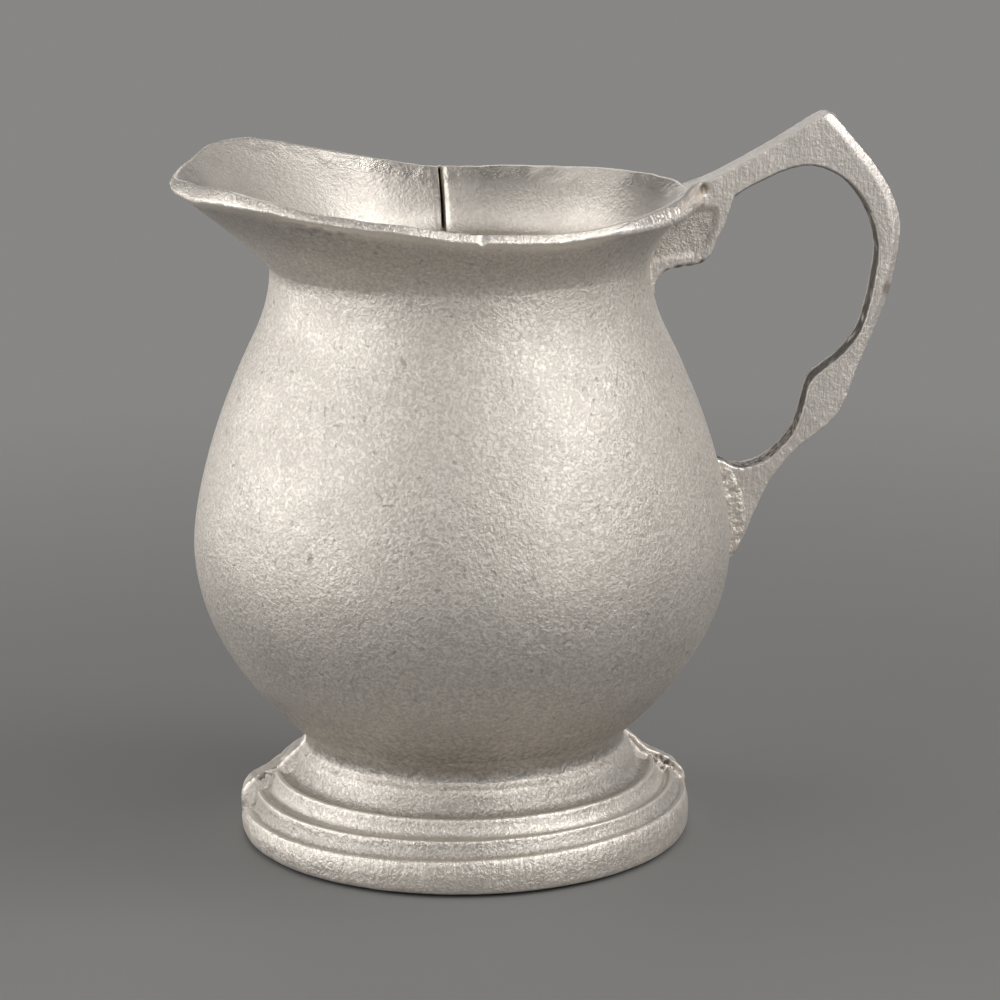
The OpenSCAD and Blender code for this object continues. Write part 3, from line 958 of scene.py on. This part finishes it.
def tinted(tree, tone, *layers):
    """The tone under layers of tint, each given as a mask, its share and a colour."""
    for mask, share, colour in layers:
        tone = mixed(tree, times(tree, mask, share), tone, colour)
    return tone


def stacked(tree, total, *layers):
    """A total to which each layer is added, given as a value and its weight."""
    for value, weight in layers:
        total = sums(tree, "MULTIPLY_ADD", value, weight, total)
    return total


def noise_at(tree, vector, scale, detail=2.0, distortion=0.0, offset=0.0):
    moved = node(tree, "ShaderNodeVectorMath", {0: vector, 1: (offset, offset * 0.7, -offset)},
                 operation="ADD").outputs[0]
    return node(tree, "ShaderNodeTexNoise", {"Vector": moved, "Scale": scale, "Detail": detail,
                                             "Distortion": distortion}).outputs["Fac"]


# %% [markdown]
# Tumbling with shot leaves pewter covered with thousands of short nicks. Each cell of a
# Voronoi pattern draws one of them: a line through the cell's centre, turned by the
# cell's random colour, bent a little, and laid flat on the surface by taking the
# normal's share out of every vector.

# %% Nicks


def vectors(tree, operation, *values):
    made = node(tree, "ShaderNodeVectorMath", dict(enumerate(values)), operation=operation)
    return made.outputs["Value" if operation == "DOT_PRODUCT" else "Vector"]


def scaled(tree, vector, number):
    return node(tree, "ShaderNodeVectorMath", {0: vector, "Scale": number},
                operation="SCALE").outputs["Vector"]


def flat_on(tree, vector, normal):
    return vectors(tree, "SUBTRACT", vector,
                   scaled(tree, normal, vectors(tree, "DOT_PRODUCT", vector, normal)))


def draw_nicks(tree, given, result):
    cells = node(tree, "ShaderNodeTexVoronoi",
                 {"Vector": given["Vector"], "Scale": given["Scale"]}).outputs
    chance = node(tree, "ShaderNodeSeparateColor", {"Color": cells["Color"]}).outputs
    normal = given["Normal"]
    offset = flat_on(tree, vectors(tree, "SUBTRACT", given["Vector"], cells["Position"]), normal)
    heading = vectors(tree, "NORMALIZE", flat_on(
        tree, vectors(tree, "SUBTRACT", cells["Color"], (0.5, 0.5, 0.5)), normal))
    sideways = vectors(tree, "CROSS_PRODUCT", normal, heading)
    along = times(tree, vectors(tree, "DOT_PRODUCT", offset, heading), given["Scale"])
    across = times(tree, vectors(tree, "DOT_PRODUCT", offset, sideways), given["Scale"])
    bend = times(tree, times(tree, along, along),
                 sums(tree, "MULTIPLY_ADD", chance["Red"], 3.0, -1.5))
    across = sums(tree, "ABSOLUTE", sums(tree, "ADD", across, bend))
    across = sums(tree, "SUBTRACT", 1.0, sums(tree, "DIVIDE", across, given["Width"]), clamp=True)
    reach = sums(tree, "SUBTRACT", given["Length"], sums(tree, "ABSOLUTE", along))
    reach = sums(tree, "MULTIPLY", reach, 9.0, clamp=True)
    # only the share of cells that Cover asks for is drawn, and about a quarter hold dirt
    drawn = sums(tree, "SUBTRACT", chance["Blue"], sums(tree, "SUBTRACT", 1.0, given["Cover"]))
    drawn = sums(tree, "MULTIPLY", drawn, 8.0, clamp=True)
    nick = times(tree, times(tree, across, reach), drawn)
    dirty = sums(tree, "SUBTRACT", chance["Green"], 0.72)
    dirty = sums(tree, "MULTIPLY", dirty, 6.0, clamp=True)
    tree.links.new(nick, result["Nick"])
    tree.links.new(times(tree, nick, dirty), result["Dirt"])


nick_tree, given, result = node_group(
    "nicks", [("Vector", None), ("Normal", None), ("Scale", 500.0), ("Length", 0.4),
              ("Width", 0.08), ("Cover", 0.7)], ["Nick", "Dirt"])
draw_nicks(nick_tree, given, result)
print("group:", nick_tree.name)

# %% [markdown]
# Old pewter also has a patina: cloudy lighter and darker patches, soft lumps a
# millimetre or two wide, a finer mottle like orange peel, and small dark pits.

# %% Patina
patina_tree, patina_in, patina_out = node_group(
    "patina", [("Vector", None), ("Size", 90.0)], ["Clouds", "Lumps", "Mottle", "Pits"])
for label, scale, detail, distortion, offset, low, high in (
        ("Clouds", 1.0, 5.0, 0.4, 0.0, 0.3, 0.7), ("Lumps", 5.5, 4.0, 0.2, 3.1, 0.3, 0.7),
        ("Mottle", 14.0, 5.0, 0.2, 7.7, 0.34, 0.66), ("Pits", 8.0, 3.0, 0.3, 5.3, 0.67, 0.72)):
    size = sums(patina_tree, "MULTIPLY", patina_in["Size"], scale)
    cloudy = noise_at(patina_tree, patina_in["Vector"], size, detail, distortion, offset)
    patina_tree.links.new(remap(patina_tree, cloudy, low, high), patina_out[label])
print("group:", patina_tree.name)

# %% [markdown]
# The pewter of the body and foot puts these together: clouds and mottle choose between
# a light and a dark warm grey, nicks and pits cut the surface through Bump, and the
# worn rim is lighter. The thin oxide skin scatters part of the light, so Metallic is a
# plain 0.8. The foot was tumbled less, so its grain is deeper, and short file strokes
# cross its band. Painted shade stored on the pieces darkens the lower bowl, the waist,
# the hollows behind the foot's ridges and the metal under the flare, and the torn patch
# is dark too; at its strongest it is black, as painted shadow along the foot's lower
# edge and painted shade in the slit.

# %% Pewter


def darker(colour, share):
    return tuple(c * share for c in colour[:3]) + (1,)


def new_material(name):
    material = bpy.data.materials.new(name)
    material.use_nodes = True
    tree = material.node_tree
    return material, tree, tree.nodes["Principled BSDF"]


def wire_up(tree, shader, tone, gloss, height, depth):
    tree.links.new(tone, shader.inputs["Base Color"])
    tree.links.new(gloss, shader.inputs["Roughness"])
    shader.inputs["Metallic"].default_value = 0.8
    bump = node(tree, "ShaderNodeBump", {"Height": height, "Strength": 1.0,
                                         "Distance": depth * MM})
    tree.links.new(bump.outputs["Normal"], shader.inputs["Normal"])


def nicks_at(tree, place, facing, scale, width, cover):
    return group(tree, nick_tree, Vector=place, Normal=facing, Scale=scale, Length=0.42,
                 Width=width, Cover=cover)


def file_strokes(tree, place):
    """Short upright strokes round the foot's band: noise stretched along Z."""
    parts = node(tree, "ShaderNodeSeparateXYZ", {0: place}).outputs
    turn = times(tree, sums(tree, "ARCTAN2", parts["Y"], parts["X"]), FOOT_RADIUS)
    unrolled = node(tree, "ShaderNodeCombineXYZ", {0: turn, 2: times(tree, parts["Z"], 0.22)})
    return remap(tree, noise_at(tree, unrolled.outputs[0], 1100.0, 3.0, 0.3), 0.35, 0.65)


def pewter_material(name, light, dark, roughness, depth):
    material, tree, shader = new_material(name)
    place = node(tree, "ShaderNodeTexCoord").outputs["Object"]
    facing = node(tree, "ShaderNodeNewGeometry").outputs["Normal"]
    wear, inner, filed = stored(tree, "wear"), stored(tree, "inner"), stored(tree, "filed")
    # the stored painted shade, with the dark torn patch; above 1.15 it turns black as painted
    # shadow and shade
    tarnish = stored(tree, "tarnish")
    shadow_black = remap(tree, tarnish, 1.15, 1.3)
    patina = group(tree, patina_tree, Vector=place, Size=95.0)
    crowd = remap(tree, noise_at(tree, place, 170.0, 2.0, 0.3, 2.2), 0.38, 0.62)
    large, small, tiny = [
        nicks_at(tree, place, facing, scale, width,
                 sums(tree, "MULTIPLY_ADD", crowd, more, fewest))
        for scale, width, more, fewest in
        ((250.0, 0.05, 0.2, 0.06), (560.0, 0.14, 0.35, 0.05), (1050.0, 0.2, 0.5, 0.25))]
    grain = remap(tree, noise_at(tree, place, 2300.0, 3.0, 0.6), 0.4, 0.6)
    dirt = stacked(tree, times(tree, large["Dirt"], 0.5), (small["Dirt"], 0.5),
                   (patina["Pits"], 0.55))
    uneven = times(tree, patina["Mottle"], sums(tree, "MINIMUM", tarnish, 0.5))
    darkened = sums(tree, "MULTIPLY_ADD", uneven, -0.8, times(tree, tarnish, 1.2), clamp=True)
    clean = sums(tree, "MULTIPLY_ADD", patina["Lumps"], -0.5, 0.75)
    tone = tinted(
        tree, mixed(tree, patina["Clouds"], dark, light),
        (patina["Lumps"], 0.25, darker(dark, 0.88)), (patina["Mottle"], 0.45, darker(dark, 0.76)),
        (grain, 0.7, darker(dark, 0.68)), (small["Nick"], 0.35, darker(dark, 0.62)),
        (tiny["Dirt"], 0.9, FLECK), (dirt, 1.0, darker(dark, 0.4)),
        (darkened, 1.0, darker(dark, 0.3)), (inner, 0.5, light),
        (wear, 0.75, darker(light, 1.03)), (filed, clean, darker(light, 1.02)),
        (shadow_black, 1.0, PAINTED_SHADOW_BLACK))
    gloss = remap(tree, patina["Clouds"], 0.0, 1.0, roughness + 0.05, roughness - 0.04)
    gloss = stacked(tree, gloss, (inner, -0.09), (wear, -0.12), (shadow_black, 0.4))
    relief = sums(tree, "MULTIPLY_ADD", crowd, -0.9, -0.5)
    strokes = times(tree, file_strokes(tree, place), filed)
    height = stacked(tree, times(tree, large["Nick"], -0.9), (small["Nick"], -1.1),
                     (tiny["Nick"], 0.4), (patina["Lumps"], -1.3), (patina["Mottle"], relief),
                     (patina["Pits"], -1.2), (grain, 1.0), (strokes, 1.6))
    height = times(tree, height, sums(tree, "MULTIPLY_ADD", inner, -0.5, 1.0))
    wire_up(tree, shader, tone, gloss, height, depth)
    return material


PEWTER_LIGHT, PEWTER_DARK = (0.985, 0.91, 0.82, 1), (0.90, 0.835, 0.76, 1)
# the second colour is the black of the painted shadow along the foot's lower edge and the painted
# shade in the slit
FLECK, PAINTED_SHADOW_BLACK = (1, 0.98, 0.95, 1), (0.018, 0.016, 0.014, 1)
FOOT_RADIUS = 0.032
pewter = pewter_material("pewter", PEWTER_LIGHT, PEWTER_DARK, 0.50, 0.028)
foot_pewter = pewter_material("pewter_foot", PEWTER_LIGHT, darker(PEWTER_DARK, 0.95), 0.44, 0.036)
for piece in (body, floor_disc):
    piece.data.materials.append(pewter)
for piece in (near_foot, far_foot, waist_solder):
    piece.data.materials.append(foot_pewter)
print("materials:", pewter.name, foot_pewter.name)

# %% [markdown]
# The handle and the solder keep more of the mould's skin: satin on the flat faces, and
# grainy, darker metal in the sunk panel and along the inner edges. Painted shade turns
# the loop's inner face and a line under the bracket black, and darkens the pits, the
# gap and the near faces of the foot's fins.

# %% Cast pewter and solder


def cast_material(name, light, dark, roughness, depth):
    material, tree, shader = new_material(name)
    place = node(tree, "ShaderNodeTexCoord").outputs["Object"]
    facing = node(tree, "ShaderNodeNewGeometry").outputs["Normal"]
    grainy, wear = stored(tree, "grain"), stored(tree, "wear")
    patina = group(tree, patina_tree, Vector=place, Size=130.0)
    nicks = nicks_at(tree, place, facing, 520.0, 0.12, 0.07)
    grain = remap(tree, noise_at(tree, place, 2700.0, 3.0, 0.6), 0.35, 0.65)
    upright = node(tree, "ShaderNodeVectorMath", {0: place, 1: (1.0, 1.0, 0.16)},
                   operation="MULTIPLY").outputs[0]
    brushed = remap(tree, noise_at(tree, upright, 2600.0, 2.0, 0.2), 0.35, 0.65)
    cast = sums(tree, "MULTIPLY_ADD", grain, -0.5, 0.55)
    # painted shade: black in the loop, under the bracket and in the fins' pits and gap; the grain
    # number also paints shade on the fins' near faces
    tone = tinted(
        tree, mixed(tree, patina["Clouds"], dark, light),
        (patina["Lumps"], 0.25, darker(dark, 0.88)), (patina["Mottle"], 0.35, darker(dark, 0.8)),
        (nicks["Dirt"], 0.5, darker(dark, 0.45)), (grainy, cast, darker(dark, 0.5)),
        (wear, 0.7, light), (stored(tree, "soot"), 0.9, PAINTED_SHADE_BLACK),
        (stored(tree, "stain"), 0.75, RUST), (brushed, 0.22, darker(dark, 0.7)))
    gloss = stacked(tree, roughness, (grainy, 0.12), (wear, -0.12))
    height = times(tree, grain, sums(tree, "MULTIPLY_ADD", grainy, 1.5, 0.4))
    height = stacked(tree, height, (brushed, 0.5), (nicks["Nick"], -0.8),
                     (patina["Lumps"], -1.0), (patina["Mottle"], -0.6))
    wire_up(tree, shader, tone, gloss, height, depth)
    return material


# the first colour is the black of the painted shade
PAINTED_SHADE_BLACK, RUST = (0.07, 0.06, 0.05, 1), (0.20, 0.15, 0.085, 1)
cast_pewter = cast_material("cast_pewter", (0.97, 0.90, 0.825, 1), (0.85, 0.79, 0.73, 1),
                            0.46, 0.03)
handle.data.materials.append(cast_pewter)
solder = cast_material("solder", (0.95, 0.875, 0.79, 1), (0.8, 0.74, 0.67, 1), 0.46, 0.04)
for piece in (tail_solder, neck_solder, foot_flash):
    piece.data.materials.append(solder)
print("materials:", cast_pewter.name, solder.name)

# %% [markdown]
# The jug stands on a plain grey table that runs out of the picture on all sides. Near
# the jug the table is lit paint and takes its shadow; further out it fades to the same
# grey at an even level, as a long paper sweep looks, for the camera and for reflections.

# %% Table
TABLE_GREY = (0.27, 0.2665, 0.2605, 1)
TABLE_RADIUS, FADE, EVEN_LIGHT = 6, (0.09, 0.32), 0.9
bpy.ops.object.select_all(action="DESELECT")
bpy.ops.mesh.primitive_circle_add(vertices=64, radius=TABLE_RADIUS, fill_type="NGON",
                                  location=(0, 0, 0))
table = bpy.context.object
table.name = "table"


def table_paint():
    material, tree, shader = new_material("table_grey")
    shader.inputs["Base Color"].default_value = TABLE_GREY
    shader.inputs["Roughness"].default_value = 0.75
    shader.inputs["Specular IOR Level"].default_value = 0.15
    even = node(tree, "ShaderNodeEmission", {"Color": TABLE_GREY, "Strength": EVEN_LIGHT})
    place = node(tree, "ShaderNodeTexCoord").outputs["Object"]
    reach = node(tree, "ShaderNodeVectorMath", {0: place}, operation="LENGTH").outputs["Value"]
    path = node(tree, "ShaderNodeLightPath").outputs
    seen = sums(tree, "MAXIMUM", path["Is Camera Ray"],
                sums(tree, "MAXIMUM", path["Is Glossy Ray"], path["Is Transmission Ray"]))
    share = times(tree, remap(tree, reach, *FADE), seen)
    blend = node(tree, "ShaderNodeMixShader", {0: share, 1: shader.outputs[0],
                                               2: even.outputs[0]})
    tree.links.new(blend.outputs[0], tree.nodes["Material Output"].inputs["Surface"])
    return material


table.data.materials.append(table_paint())
print("table:", table.name)
